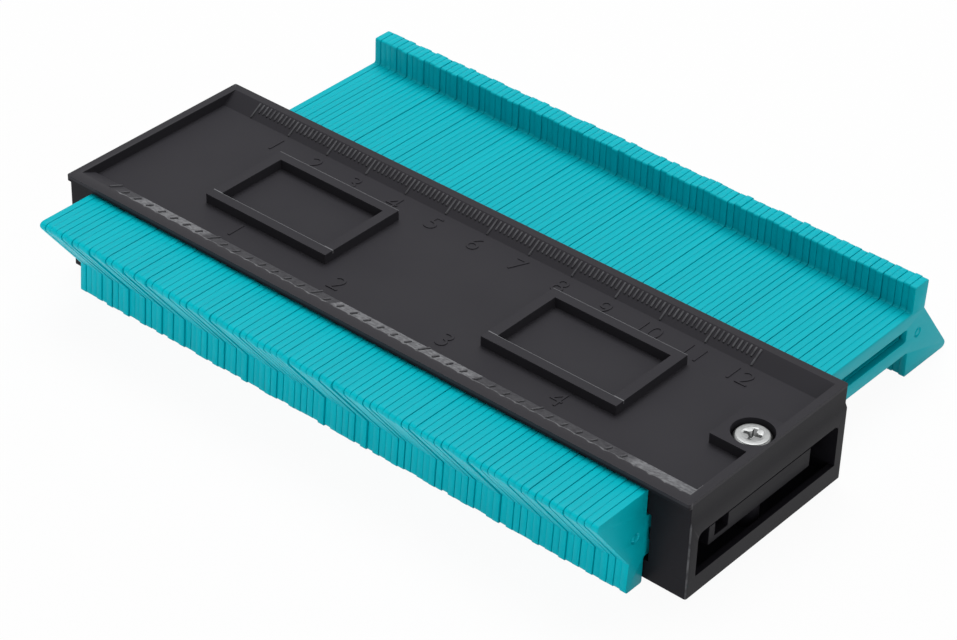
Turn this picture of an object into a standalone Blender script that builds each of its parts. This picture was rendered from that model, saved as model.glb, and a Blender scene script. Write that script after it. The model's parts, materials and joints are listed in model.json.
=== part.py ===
"""Contour gauge: a moulded body in two halves, a guide bar, its screw and a stack of sliding leaves.

Millimetre sizes are written in metres. X runs along the body, with the screw at the +X end.
Y runs along the leaves, and +Y is the rear. Z is up, from the underside of the base plate.
"""
import math

import bmesh
import bpy
from mathutils import Vector

# Leaves: one flat moulding, the same when it is turned half a turn about its own middle
NOMINAL_PITCH = 0.00146
LEAF_GAP = 0.00010
SHANK_LENGTH = 0.0784
SHANK_HEIGHT = 0.0087
HEAD_HEIGHT = 0.0198
BEAK_REACH = 0.0135
BEAK_RADIUS = 0.0010
LIP_WIDTH = 0.0044
LIP_ROUND = 0.0006
NOTCH_REACH = 0.0040
NOTCH_HEIGHT = 0.0037
HEAD_FILLET = 0.0005
SLOT_END_WALL = 0.0009
SCORE_DEPTH = 0.00035

# Body
BODY_LENGTH = 0.1460
BODY_DEPTH = 0.0446
BODY_HEIGHT = 0.02035
BASE_THICKNESS = 0.0038
LEFT_END = 0.0060
RIGHT_END = 0.0081
SEAM_GAP = 0.0003
STEP_HEIGHT = 0.0153
STEP_INSET = 0.00025
EAVE_REACH = 0.0007
EAVE_CLEARANCE = 0.00035
CORNER_RADIUS = 0.0004
PIT_DEPTH = 0.0022
SILL_THICKNESS = 0.0012
LEAF_CLEARANCE_UNDER = 0.00075
LEAF_CLEARANCE_OVER = 0.00045

# Tray in the top of the cover
END_RIM = 0.00165
SIDE_RIM = 0.0017
TRAY_DEPTH = 0.00205
RAMP_WIDTH = 0.0033
LABEL_LENGTH = 0.0300
LABEL_DEPTH = 0.0200
LABEL_WALL = 0.0021
LABEL_SPACING = 0.0668

# Ribs under the tray
TRAY_PANEL = 0.0018
RIB_THICKNESS = 0.0014
RIB_SPACING = 0.0132
SKIRT_THICKNESS = 0.0024

# Guide bar through the slots
BAR_THICKNESS = 0.0022
BAR_WIDTH = 0.0290
BAR_CLEARANCE = 0.0003
BAR_SOCKET = 0.0035
KEY_DROP = 0.0017
KEY_INSET = 0.0017
KEY_NOTCH_WIDTH = 0.0037
KEY_NOTCH_SIDE = 0.0017
KEY_LIP = 0.0011

# Window in the right end
WINDOW_WIDTH = 0.0400
WINDOW_TOP = 0.0127
WINDOW_ROUND = 0.0013
INNER_WALL = 0.0010

# Screw
SCREW_INSET = 0.0044
HEAD_RADIUS = 0.0035
HEAD_THICKNESS = 0.0024
HEAD_ROUND = 0.0007
HEAD_SUNK = 0.00055
SHAFT_RADIUS = 0.0012
SCREW_LENGTH = 0.0184
HEAD_CLEARANCE = 0.0004
SHAFT_CLEARANCE = 0.0003
BOSS_WALL = 0.0009
BOSS_WIDTH = 0.0104
CROSS_WIDTH = 0.0009
CROSS_LENGTH = 0.0043
CROSS_DEPTH = 0.0012
CROSS_TURN = 15

# Pegs that locate the base plate at the left end
PEG_RADIUS = 0.0012
PEG_HEIGHT = 0.0018
PEG_SPACING = 0.0160

# Sizes worked out from those above
CHANNEL_LENGTH = BODY_LENGTH - LEFT_END - RIGHT_END
STACK_LENGTH = CHANNEL_LENGTH - 2 * SEAM_GAP
PAIR_COUNT = max(1, round((STACK_LENGTH + LEAF_GAP) / (2 * NOMINAL_PITCH)))
PITCH = (STACK_LENGTH + LEAF_GAP) / (2 * PAIR_COUNT)
LEAF_THICKNESS = PITCH - LEAF_GAP
CHANNEL_LEFT = -BODY_LENGTH / 2 + LEFT_END
CHANNEL_RIGHT = BODY_LENGTH / 2 - RIGHT_END
STACK_MIDDLE = (CHANNEL_LEFT + CHANNEL_RIGHT) / 2
LEAF_Z = BASE_THICKNESS + LEAF_CLEARANCE_UNDER + SHANK_HEIGHT / 2
LEAF_Y = SHANK_LENGTH / 2 - BODY_DEPTH / 2 - SEAM_GAP
CHANNEL_TOP = LEAF_Z + SHANK_HEIGHT / 2 + LEAF_CLEARANCE_OVER
COVER_BOTTOM = BASE_THICKNESS + SEAM_GAP
TRAY_FLOOR = BODY_HEIGHT - TRAY_DEPTH
SLOT_HEIGHT = BAR_THICKNESS + 2 * BAR_CLEARANCE
SCREW_X = BODY_LENGTH / 2 - SCREW_INSET
HEAD_TOP = BODY_HEIGHT - HEAD_SUNK
HEAD_SEAT = HEAD_TOP - HEAD_THICKNESS
BAR_TOP = LEAF_Z + BAR_THICKNESS / 2
KEY_BOTTOM = LEAF_Z - BAR_THICKNESS / 2 - KEY_DROP
POCKET_LEFT = CHANNEL_RIGHT + INNER_WALL
PAST = 0.002

BLACK_ABS = ("black_abs", (0.018, 0.018, 0.020), 0.45, 0.0)
TEAL_ABS = ("teal_abs", (0.012, 0.480, 0.560), 0.40, 0.0)
ZINC_STEEL = ("zinc_steel", (0.780, 0.790, 0.800), 0.30, 1.0)


def new_collection(name):
    """A collection in the scene."""
    made = bpy.data.collections.new(name)
    bpy.context.scene.collection.children.link(made)
    return made


def material(finish):
    """A Principled material from a name, a colour, a roughness and a metallic value."""
    name, colour, roughness, metallic = finish
    if name in bpy.data.materials:
        return bpy.data.materials[name]
    made = bpy.data.materials.new(name)
    made.use_nodes = True
    shader = made.node_tree.nodes["Principled BSDF"]
    shader.inputs["Base Color"].default_value = (*colour, 1.0)
    shader.inputs["Roughness"].default_value = roughness
    shader.inputs["Metallic"].default_value = metallic
    return made


def move_to(thing, collection):
    """Take an object out of its collections and put it in one."""
    for held in list(thing.users_collection):
        held.objects.unlink(thing)
    collection.objects.link(thing)
    return thing


def box(name, low, high, corner=0.0, turned="Z"):
    """A box between two corners, with its edges along one axis rounded."""
    low = Vector(low)
    high = Vector(high)
    bpy.ops.mesh.primitive_cube_add(size=1.0, location=(low + high) / 2)
    made = bpy.context.object
    made.name = name
    made.scale = high - low
    bpy.ops.object.transform_apply(location=False, rotation=False, scale=True)
    if corner > 0.0:
        axis = "XYZ".index(turned)
        shape = bmesh.new()
        shape.from_mesh(made.data)
        edges = [e for e in shape.edges if abs((e.verts[0].co - e.verts[1].co)[axis]) > corner]
        bmesh.ops.bevel(shape, geom=edges, offset=corner, segments=3, profile=0.5, affect="EDGES")
        shape.to_mesh(made.data)
        shape.free()
    return made


def rod(name, centre, radius, low, high, sides=20):
    """An upright cylinder between two heights."""
    bpy.ops.mesh.primitive_cylinder_add(
        vertices=sides, radius=radius, depth=high - low, location=(centre[0], centre[1], (low + high) / 2))
    made = bpy.context.object
    made.name = name
    return made


def as_cutter(thing, collection):
    """Keep an object out of the model: it only cuts or joins."""
    move_to(thing, collection)
    thing.hide_render = True
    thing.display_type = "WIRE"
    return thing


def combine(target, tool, operation):
    """Cut a tool from a target, or join it on."""
    step = target.modifiers.new(tool.name, "BOOLEAN")
    step.object = tool
    step.operation = operation
    step.solver = "EXACT"


def flat_outline(name, outlines, thickness):
    """A flat plate from closed outlines, inner ones being holes, as a mesh centred on its own plane."""
    curve = bpy.data.curves.new(name + "_outline", "CURVE")
    curve.dimensions = "2D"
    curve.fill_mode = "BOTH"
    curve.extrude = thickness / 2
    for points in outlines:
        spline = curve.splines.new("POLY")
        spline.points.add(len(points) - 1)
        for place, (u, w) in zip(spline.points, points):
            place.co = (u, w, 0.0, 1.0)
        spline.use_cyclic_u = True
    drawn = bpy.data.objects.new(name + "_drawn", curve)
    bpy.context.scene.collection.objects.link(drawn)
    bpy.context.view_layer.update()
    solid = bpy.data.meshes.new_from_object(drawn.evaluated_get(bpy.context.evaluated_depsgraph_get()))
    shape = bmesh.new()
    shape.from_mesh(solid)
    bmesh.ops.remove_doubles(shape, verts=shape.verts, dist=1e-6)
    shape.to_mesh(solid)
    shape.free()
    bpy.data.objects.remove(drawn)
    solid.name = name
    return solid


def arc(centre, radius, start, end, steps):
    """Points on an arc, with its angles in degrees."""
    angles = [math.radians(start + (end - start) * step / steps) for step in range(steps + 1)]
    return [(centre[0] + radius * math.cos(a), centre[1] + radius * math.sin(a)) for a in angles]


def shade(thing, angle=30.0):
    """Smooth the round faces and keep the edges sharp."""
    thing.data.shade_smooth()
    thing.data.set_sharp_from_angle(angle=math.radians(angle))


def half_leaf():
    """The rear end of a leaf: an upright lip above, and a long beak that slopes away below.

    u runs along the leaf and w up it, from the leaf's middle.
    """
    shoulder = SHANK_LENGTH / 2
    top = HEAD_HEIGHT / 2
    shank = SHANK_HEIGHT / 2
    lip = shoulder + LIP_WIDTH
    notch = (shoulder + NOTCH_REACH, NOTCH_HEIGHT)
    beak = (shoulder + BEAK_REACH - BEAK_RADIUS, BEAK_RADIUS - top)
    slope = math.degrees(math.atan2(notch[1] - beak[1], beak[0] - notch[0]))
    lower_foot = arc((shoulder - HEAD_FILLET, -shank - HEAD_FILLET), HEAD_FILLET, 90, 0, 1)
    beak_tip = arc(beak, BEAK_RADIUS, -90, 90 - slope, 2)
    lip_corner = arc((lip - LIP_ROUND, top - LIP_ROUND), LIP_ROUND, 0, 90, 1)
    upper_foot = arc((shoulder - HEAD_FILLET, shank + HEAD_FILLET), HEAD_FILLET, 0, -90, 1)
    return lower_foot + [(shoulder, -top)] + beak_tip + [notch] + lip_corner + [(shoulder, top)] + upper_foot


def leaf_outlines():
    """A leaf and the slot down its middle."""
    rear = half_leaf()
    front = [(-u, -w) for u, w in rear]
    end = SHANK_LENGTH / 2 - SLOT_END_WALL
    side = SLOT_HEIGHT / 2
    slot = [(-end, -side), (-end, side), (end, side), (end, -side)]
    return [rear + front, slot]


def leaf_pair():
    """Two leaves that lie face to face as one solid, with the line between them scored all round."""
    pair = flat_outline("leaf_pair", leaf_outlines(), PITCH + LEAF_THICKNESS)
    shape = bmesh.new()
    shape.from_mesh(pair)
    for height in (-LEAF_GAP / 2, 0.0, LEAF_GAP / 2):
        everything = shape.verts[:] + shape.edges[:] + shape.faces[:]
        bmesh.ops.bisect_plane(shape, geom=everything, plane_co=(0.0, 0.0, height), plane_no=(0.0, 0.0, 1.0))
    shape.normal_update()
    middle = [v for v in shape.verts if abs(v.co.z) < LEAF_GAP / 4]
    inwards = [-v.normal * SCORE_DEPTH * v.calc_shell_factor() for v in middle]
    for v, step in zip(middle, inwards):
        v.co += step
    shape.to_mesh(pair)
    shape.free()
    pair.materials.append(material(TEAL_ABS))
    return pair


def add_leaves(collection):
    """The stack of leaves, two to a node, as many as fill the channel."""
    pair = leaf_pair()
    first = STACK_MIDDLE - STACK_LENGTH / 2 + LEAF_THICKNESS + LEAF_GAP / 2
    for number in range(PAIR_COUNT):
        made = bpy.data.objects.new("leaf_pair_%02d" % (number + 1), pair)
        collection.objects.link(made)
        made.location = (first + number * 2 * PITCH, LEAF_Y, LEAF_Z)
        made.rotation_euler = (math.pi / 2, 0.0, math.pi / 2)


def tray_cutter(cutters):
    """The shallow tray with its sloped long sides, less the two label frames and the screw boss."""
    length = BODY_LENGTH - STEP_INSET - 2 * END_RIM
    front = SIDE_RIM - BODY_DEPTH / 2
    rear = BODY_DEPTH / 2 - STEP_INSET - SIDE_RIM
    above = BODY_HEIGHT + PAST
    outline = [(front + RAMP_WIDTH, TRAY_FLOOR), (rear - RAMP_WIDTH, TRAY_FLOOR), (rear, BODY_HEIGHT),
               (rear, above), (front, above), (front, BODY_HEIGHT)]
    made = bpy.data.objects.new("tray_space", flat_outline("tray_space", [outline], length))
    made.location.x = -STEP_INSET / 2
    made.rotation_euler = (math.pi / 2, 0.0, math.pi / 2)
    as_cutter(made, cutters)
    below = TRAY_FLOOR - PAST
    over = above + PAST
    boss_left = SCREW_X - BOSS_WIDTH / 2
    boss = box("boss_block", (boss_left, -BOSS_WIDTH / 2, below),
               (BODY_LENGTH / 2, BOSS_WIDTH / 2, over))
    combine(made, as_cutter(boss, cutters), "DIFFERENCE")
    for side in (-1, 1):
        middle = STACK_MIDDLE + side * LABEL_SPACING / 2
        half = LABEL_LENGTH / 2
        outer = box("label_outside", (middle - half, -LABEL_DEPTH / 2, below),
                    (middle + half, LABEL_DEPTH / 2, over))
        combine(made, as_cutter(outer, cutters), "DIFFERENCE")
        inner = box("label_inside", (middle - half + LABEL_WALL, LABEL_WALL - LABEL_DEPTH / 2, TRAY_FLOOR),
                    (middle + half - LABEL_WALL, LABEL_DEPTH / 2 - LABEL_WALL, above))
        combine(made, as_cutter(inner, cutters), "UNION")
    return made


def rib_pockets(cutters):
    """Pockets under the tray, which leave ribs between them and a long rib down the middle."""
    count = int((CHANNEL_LENGTH - RIB_THICKNESS) / RIB_SPACING)
    size_x = RIB_SPACING - RIB_THICKNESS
    size_y = BODY_DEPTH / 2 - SKIRT_THICKNESS - RIB_THICKNESS / 2
    start = STACK_MIDDLE - (count * RIB_SPACING - RIB_THICKNESS) / 2
    front = -RIB_THICKNESS / 2 - size_y
    made = box("rib_pocket", (start, front, CHANNEL_TOP - PAST),
               (start + size_x, front + size_y, TRAY_FLOOR - TRAY_PANEL))
    for number, offset in ((count, (RIB_SPACING, 0.0, 0.0)), (2, (0.0, size_y + RIB_THICKNESS, 0.0))):
        copies = made.modifiers.new("pockets", "ARRAY")
        copies.count = number
        copies.use_relative_offset = False
        copies.use_constant_offset = True
        copies.constant_offset_displace = offset
    return as_cutter(made, cutters)


def add_cover(collection, cutters):
    """The upper half: tray, skirts, both end walls, the window and the screw's seat.

    Above the step it is set in a little at the rear and the screw end. The front rim reaches out
    over the leaves' heads as a low eave.
    """
    half = BODY_LENGTH / 2
    side = BODY_DEPTH / 2
    cover = move_to(box("top_cover", (-half, -side, COVER_BOTTOM), (half, side, STEP_HEIGHT), CORNER_RADIUS),
                    collection)
    high = (half - STEP_INSET, side - STEP_INSET, BODY_HEIGHT)
    rim = box("rim_block", (-half, -side, STEP_HEIGHT - PAST), high, CORNER_RADIUS)
    combine(cover, as_cutter(rim, cutters), "UNION")
    eave_bottom = LEAF_Z + HEAD_HEIGHT / 2 + EAVE_CLEARANCE
    eave = box("eave", (-half, -side - EAVE_REACH, eave_bottom), high, CORNER_RADIUS)
    combine(cover, as_cutter(eave, cutters), "UNION")

    below = COVER_BOTTOM - PAST
    channel = box("leaf_channel", (CHANNEL_LEFT, -side - PAST, below),
                  (CHANNEL_RIGHT, side + PAST, CHANNEL_TOP))
    combine(cover, as_cutter(channel, cutters), "DIFFERENCE")
    window = box("end_window", (POCKET_LEFT, -WINDOW_WIDTH / 2, below - WINDOW_ROUND),
                 (half + PAST, WINDOW_WIDTH / 2, WINDOW_TOP), WINDOW_ROUND, "X")
    combine(cover, as_cutter(window, cutters), "DIFFERENCE")
    combine(cover, tray_cutter(cutters), "DIFFERENCE")
    combine(cover, rib_pockets(cutters), "DIFFERENCE")

    # Tube round the screw, down to the bar
    tube_radius = SHAFT_RADIUS + SHAFT_CLEARANCE + BOSS_WALL
    tube = rod("screw_tube", (SCREW_X, 0.0), tube_radius, BAR_TOP + SEAM_GAP, WINDOW_TOP + PAST / 2)
    combine(cover, as_cutter(tube, cutters), "UNION")
    seat = rod("head_space", (SCREW_X, 0.0), HEAD_RADIUS + HEAD_CLEARANCE, HEAD_SEAT - SEAM_GAP,
               BODY_HEIGHT + 2 * PAST, 40)
    combine(cover, as_cutter(seat, cutters), "DIFFERENCE")
    hole = rod("shaft_space", (SCREW_X, 0.0), SHAFT_RADIUS + SHAFT_CLEARANCE,
               BAR_TOP - PAST, HEAD_SEAT + PAST / 2)
    combine(cover, as_cutter(hole, cutters), "DIFFERENCE")

    # The bar's way through the inner wall, and its socket in the left end
    bar_half = BAR_WIDTH / 2 + BAR_CLEARANCE
    bar_low = LEAF_Z - SLOT_HEIGHT / 2
    socket = box("bar_space", (CHANNEL_LEFT - BAR_SOCKET - BAR_CLEARANCE, -bar_half, bar_low),
                 (POCKET_LEFT + PAST / 2, bar_half, bar_low + SLOT_HEIGHT))
    combine(cover, as_cutter(socket, cutters), "DIFFERENCE")
    for place in (-1, 1):
        peg = rod("peg_space", (CHANNEL_LEFT - LEFT_END / 2, place * PEG_SPACING / 2),
                  PEG_RADIUS + SEAM_GAP, below, BASE_THICKNESS + PEG_HEIGHT + SEAM_GAP, 16)
        combine(cover, as_cutter(peg, cutters), "DIFFERENCE")
        # Core beside the socket, so that the left end is a wall and not a block
        near = place * (bar_half + INNER_WALL)
        far = place * (side - 2 * RIB_THICKNESS)
        core = box("end_core", (RIB_THICKNESS - half, min(near, far), below),
                   (CHANNEL_LEFT - INNER_WALL, max(near, far), CHANNEL_TOP - RIB_THICKNESS))
        combine(cover, as_cutter(core, cutters), "DIFFERENCE")
    cover.data.materials.append(material(BLACK_ABS))
    shade(cover)


def add_base(collection, cutters):
    """The lower half: a plate with two pegs at one end, and the screw's boss in a pit at the other.

    Its outside lies flush with the cover's lower walls.
    """
    half = BODY_LENGTH / 2
    side = BODY_DEPTH / 2
    base = move_to(box("base_plate", (-half, -side, 0.0), (half, side, BASE_THICKNESS), CORNER_RADIUS),
                   collection)
    pit_floor = BASE_THICKNESS - PIT_DEPTH
    pit = box("pit_space", (POCKET_LEFT, -WINDOW_WIDTH / 2, pit_floor),
              (half - SILL_THICKNESS, WINDOW_WIDTH / 2, BASE_THICKNESS + PAST))
    combine(base, as_cutter(pit, cutters), "DIFFERENCE")
    boss_radius = SHAFT_RADIUS + SHAFT_CLEARANCE + BOSS_WALL
    boss = rod("base_boss", (SCREW_X, 0.0), boss_radius, pit_floor / 2, KEY_BOTTOM - SEAM_GAP)
    combine(base, as_cutter(boss, cutters), "UNION")
    hole = rod("screw_space", (SCREW_X, 0.0), SHAFT_RADIUS + SHAFT_CLEARANCE,
               HEAD_TOP - SCREW_LENGTH - SEAM_GAP, KEY_BOTTOM + PAST)
    combine(base, as_cutter(hole, cutters), "DIFFERENCE")
    for place in (-1, 1):
        peg = rod("peg", (CHANNEL_LEFT - LEFT_END / 2, place * PEG_SPACING / 2),
                  PEG_RADIUS, BASE_THICKNESS / 2, BASE_THICKNESS + PEG_HEIGHT, 16)
        combine(base, as_cutter(peg, cutters), "UNION")
    base.data.materials.append(material(BLACK_ABS))
    shade(base)


def add_bar(collection, cutters):
    """The bar that the leaves slide on, with a deeper key at the screw end."""
    left = CHANNEL_LEFT - BAR_SOCKET
    right = BODY_LENGTH / 2 - KEY_INSET
    key_left = POCKET_LEFT + SEAM_GAP
    bottom = LEAF_Z - BAR_THICKNESS / 2
    outline = [(left, bottom), (key_left, bottom), (key_left, KEY_BOTTOM), (right, KEY_BOTTOM),
               (right, BAR_TOP), (left, BAR_TOP)]
    bar = bpy.data.objects.new("guide_bar", flat_outline("guide_bar", [outline], BAR_WIDTH))
    bar.rotation_euler = (math.pi / 2, 0.0, 0.0)
    collection.objects.link(bar)
    front = KEY_NOTCH_SIDE - BAR_WIDTH / 2
    notch = box("key_notch", (key_left + SEAM_GAP, front, KEY_BOTTOM + KEY_LIP),
                (right + PAST, front + KEY_NOTCH_WIDTH, BAR_TOP + PAST))
    combine(bar, as_cutter(notch, cutters), "DIFFERENCE")
    hole = rod("bar_hole", (SCREW_X, 0.0), SHAFT_RADIUS + SHAFT_CLEARANCE, KEY_BOTTOM - PAST, BAR_TOP + PAST)
    combine(bar, as_cutter(hole, cutters), "DIFFERENCE")
    bar.data.materials.append(material(BLACK_ABS))
    shade(bar)


def add_screw(collection, cutters):
    """A pan-head screw with a cross recess, turned from its profile."""
    tip = HEAD_TOP - SCREW_LENGTH
    shoulder = arc((HEAD_RADIUS - HEAD_ROUND, HEAD_TOP - HEAD_ROUND), HEAD_ROUND, 90, 0, 3)
    profile = [(0.0, HEAD_TOP), *shoulder, (HEAD_RADIUS, HEAD_SEAT), (SHAFT_RADIUS, HEAD_SEAT),
               (SHAFT_RADIUS, tip + SHAFT_RADIUS / 2), (SHAFT_RADIUS / 2, tip), (0.0, tip)]
    line = bpy.data.meshes.new("cover_screw")
    line.from_pydata([(x, 0.0, z) for x, z in profile], [(n, n + 1) for n in range(len(profile) - 1)], [])
    screw = bpy.data.objects.new("cover_screw", line)
    collection.objects.link(screw)
    screw.location = (SCREW_X, 0.0, 0.0)
    turn = screw.modifiers.new("turned", "SCREW")
    turn.steps = 20
    turn.render_steps = 20
    turn.use_merge_vertices = True
    turn.merge_threshold = 1e-5
    for name, turn_angle in (("cross_a", CROSS_TURN), ("cross_b", CROSS_TURN + 90)):
        blade = box(name, (SCREW_X - CROSS_LENGTH / 2, -CROSS_WIDTH / 2, HEAD_TOP - CROSS_DEPTH),
                    (SCREW_X + CROSS_LENGTH / 2, CROSS_WIDTH / 2, HEAD_TOP + PAST))
        blade.rotation_euler.z = math.radians(turn_angle)
        combine(screw, as_cutter(blade, cutters), "DIFFERENCE")
    screw.data.materials.append(material(ZINC_STEEL))


def build():
    """Empty the scene and model the gauge."""
    for thing in list(bpy.data.objects):
        bpy.data.objects.remove(thing)
    collection = new_collection("contour_gauge")
    cutters = new_collection("cutters")
    add_base(collection, cutters)
    add_cover(collection, cutters)
    add_bar(collection, cutters)
    add_screw(collection, cutters)
    add_leaves(collection)


build()
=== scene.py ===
"""Contour gauge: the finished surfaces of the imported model, with a studio stage and its camera.

Lengths are metres. X runs along the body, with the screw at the +X end. Y runs along the
leaves, and +Y is the rear. Z is up, from the underside of the base plate.
"""

import json
import math
import random

import bmesh
import bpy
from mathutils import Matrix, Vector

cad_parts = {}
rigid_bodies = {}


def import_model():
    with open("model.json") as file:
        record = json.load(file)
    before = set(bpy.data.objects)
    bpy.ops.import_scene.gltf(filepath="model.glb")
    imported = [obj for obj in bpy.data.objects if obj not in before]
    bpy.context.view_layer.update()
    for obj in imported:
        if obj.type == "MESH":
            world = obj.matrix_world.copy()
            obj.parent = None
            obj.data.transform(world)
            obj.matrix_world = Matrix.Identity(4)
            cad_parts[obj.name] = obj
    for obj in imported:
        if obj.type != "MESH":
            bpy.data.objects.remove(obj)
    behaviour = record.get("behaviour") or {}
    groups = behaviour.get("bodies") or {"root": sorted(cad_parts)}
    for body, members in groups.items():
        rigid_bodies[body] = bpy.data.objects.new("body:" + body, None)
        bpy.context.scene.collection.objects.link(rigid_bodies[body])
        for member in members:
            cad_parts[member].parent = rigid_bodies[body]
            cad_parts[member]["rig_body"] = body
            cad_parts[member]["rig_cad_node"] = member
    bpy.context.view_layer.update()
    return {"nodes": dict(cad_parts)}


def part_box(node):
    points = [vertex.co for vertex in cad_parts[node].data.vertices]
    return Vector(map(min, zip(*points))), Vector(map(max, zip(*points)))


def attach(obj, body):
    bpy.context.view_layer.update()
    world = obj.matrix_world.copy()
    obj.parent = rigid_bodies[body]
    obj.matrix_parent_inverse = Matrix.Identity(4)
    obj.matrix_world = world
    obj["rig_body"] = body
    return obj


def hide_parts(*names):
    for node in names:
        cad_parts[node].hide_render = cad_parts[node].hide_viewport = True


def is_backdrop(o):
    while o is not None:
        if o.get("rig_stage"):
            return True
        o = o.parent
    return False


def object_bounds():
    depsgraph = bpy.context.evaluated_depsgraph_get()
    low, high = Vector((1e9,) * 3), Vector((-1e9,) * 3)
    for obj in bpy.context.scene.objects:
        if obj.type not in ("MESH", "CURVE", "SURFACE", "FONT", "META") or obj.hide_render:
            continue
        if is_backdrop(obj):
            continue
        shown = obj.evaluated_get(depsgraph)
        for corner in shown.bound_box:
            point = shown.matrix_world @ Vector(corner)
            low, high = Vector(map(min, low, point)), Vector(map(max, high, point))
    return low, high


bl_info = {
    "name": "Contour Gauge",
    "version": (1, 0, 0),
    "blender": (4, 5, 0),
    "location": "View3D > Sidebar > Gauge",
    "description": "Models the finished surfaces of a contour gauge around its frame",
    "category": "Object",
}

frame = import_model()

# Places read from the frame
PAIRS = sorted(name for name in frame["nodes"] if name.startswith("leaf_pair_"))
PAIR_LOW, PAIR_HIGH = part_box(PAIRS[0])
COVER_LOW, COVER_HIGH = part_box("top_cover")
SCREW_LOW, SCREW_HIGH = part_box("cover_screw")
LEAF_Y = (PAIR_LOW.y + PAIR_HIGH.y) / 2
LEAF_Z = (PAIR_LOW.z + PAIR_HIGH.z) / 2
HEAD_TOP = (PAIR_HIGH.z - PAIR_LOW.z) / 2
FRAMES_X = (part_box(PAIRS[0])[0].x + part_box(PAIRS[-1])[1].x) / 2
SCREW_X = (SCREW_LOW.x + SCREW_HIGH.x) / 2

MM = 0.001
INCH = 25.4 * MM

# How close a place has to be to be the one that is meant, and how far a normal has to point along an axis
NEAR = 0.02 * MM
FACING = 0.9

# Stretches of the front slope that carry a painted reflection of the pale background, between the places
# where the label frames would block it: from and to, from the body's left end, and how softly each one ends
SLOPE_REFLECTIONS = ((15.5 * MM, 31.5 * MM, 2.0 * MM),
          (64.5 * MM, 97.0 * MM, 0.3 * MM),
          (132.0 * MM, 146.0 * MM, 4.0 * MM))

# How much of the pale painted-light black each painted highlight and the slope's painted reflection show
RIM_HIGHLIGHT_SHARE = 0.5
FRAME_HIGHLIGHT_SHARE = 0.6
SLOPE_REFLECTION_SHARE = 0.72
FAINT_REFLECTION_SHARE = 0.22
CORNER_HIGHLIGHT_SHARE = 0.35

# Blender's own typeface: its size for a digit that is 1 high, how far its foot lies below a number's
# place, and the space between two digits
TYPE_SIZE = 1.37
TYPE_FOOT = 0.36
TYPE_SPACE = 0.95

# The stage, in metres, watts and shares of white. A lamp has a name, a place, a width, a height and watts
FLOOR_SIZE = 6.0
FLOOR_WHITE = 0.95
WORLD_LEVEL = 0.32
LAMPS = (("key_softbox", (-0.20, 0.30, 0.93), 0.7, 0.7, 8.0),
         ("side_softbox", (0.85, -0.25, 0.45), 0.6, 0.6, 1.15),
         ("front_strip", (-0.1, -0.6, 0.016), 0.9, 0.03, 1.8))

# The photograph's viewpoint, in metres and degrees, and its lens in millimetres
CAMERA_PLACE = (0.286778, -0.339524, 0.325540)
CAMERA_AZIMUTH = 39.334
CAMERA_ELEVATION = 35.340
CAMERA_ROLL = 1.919
CAMERA_LENS = 113.44
SENSOR_WIDTH = 36.0


def linear(text):
    """An sRGB colour such as #1fb4c0 as linear red, green and blue."""
    parts = [int(text[place:place + 2], 16) / 255 for place in (1, 3, 5)]
    return [part / 12.92 if part <= 0.04045 else ((part + 0.055) / 1.055) ** 2.4 for part in parts]


def length(name, description, default):
    """A length that a user would change."""
    return bpy.props.FloatProperty(name=name, description=description, default=default, min=0.0,
                                   precision=5, unit="LENGTH")


def colour(name, description, default):
    """A colour that a user would change, written as sRGB hex."""
    return bpy.props.FloatVectorProperty(name=name, description=description, subtype="COLOR",
                                         default=linear(default), min=0.0, max=1.0)


class LeafSizes(bpy.types.PropertyGroup):
    gap: length("Gap", "Space between two leaves in an evenly spread stack", 0.09 * MM)
    shut_gap: length("Shut gap", "Space between two leaves that lie together", 0.07 * MM)
    shank_length: length("Shank length", "Straight part between the two heads", 78.4 * MM)
    shank_height: length("Shank height", "Height of the straight part", 8.7 * MM)
    lip_width: length("Lip width", "Depth of the upright lip at its free edge", 4.4 * MM)
    notch_reach: length("Notch reach", "How far the corner between lip and beak stands out", 4.0 * MM)
    notch_height: length("Notch height", "Height of that corner over the leaf's middle", 3.7 * MM)
    beak_reach: length("Beak reach", "How far the beak's point would stand out if it was sharp", 14.27 * MM)
    beak_radius: length("Beak radius", "Rounding of the beak's point", 1.0 * MM)
    lip_radius: length("Lip radius", "Rounding of the lip's free corner", 0.6 * MM)
    lip_inside: length("Lip inside", "Rounding of the lip's other corner, over the shank", 0.4 * MM)
    foot_radius: length("Foot radius", "Fillet between shank and head", 0.5 * MM)
    slot_height: length("Slot height", "Height of the slot for the guide bar", 2.8 * MM)
    slot_wall: length("Slot wall", "What the slot leaves of the shank at its ends", 1.1 * MM)
    slot_radius: length("Slot radius", "Rounding in the slot's corners", 0.5 * MM)
    edge: length("Edge", "Rounding of the moulded edges", 0.09 * MM)
    mark_radius: length("Mark radius", "Radius of the ring that an ejector pin leaves", 1.0 * MM)
    mark_width: length("Mark width", "Width of that ring", 0.35 * MM)
    mark_depth: length("Mark depth", "Depth of that ring", 0.3 * MM)
    mark_out: length("Mark's place", "From the shank's end out to the ring's middle", 2.728 * MM)
    mark_side: length("Mark's height", "From the leaf's middle line to the ring's middle", 1.188 * MM)
    spread: length("Spread", "How far a leaf has slid from its place, at most", 0.25 * MM)
    lift: length("Lift", "How far a leaf usually stands above or below the others", 0.0325 * MM)


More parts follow.
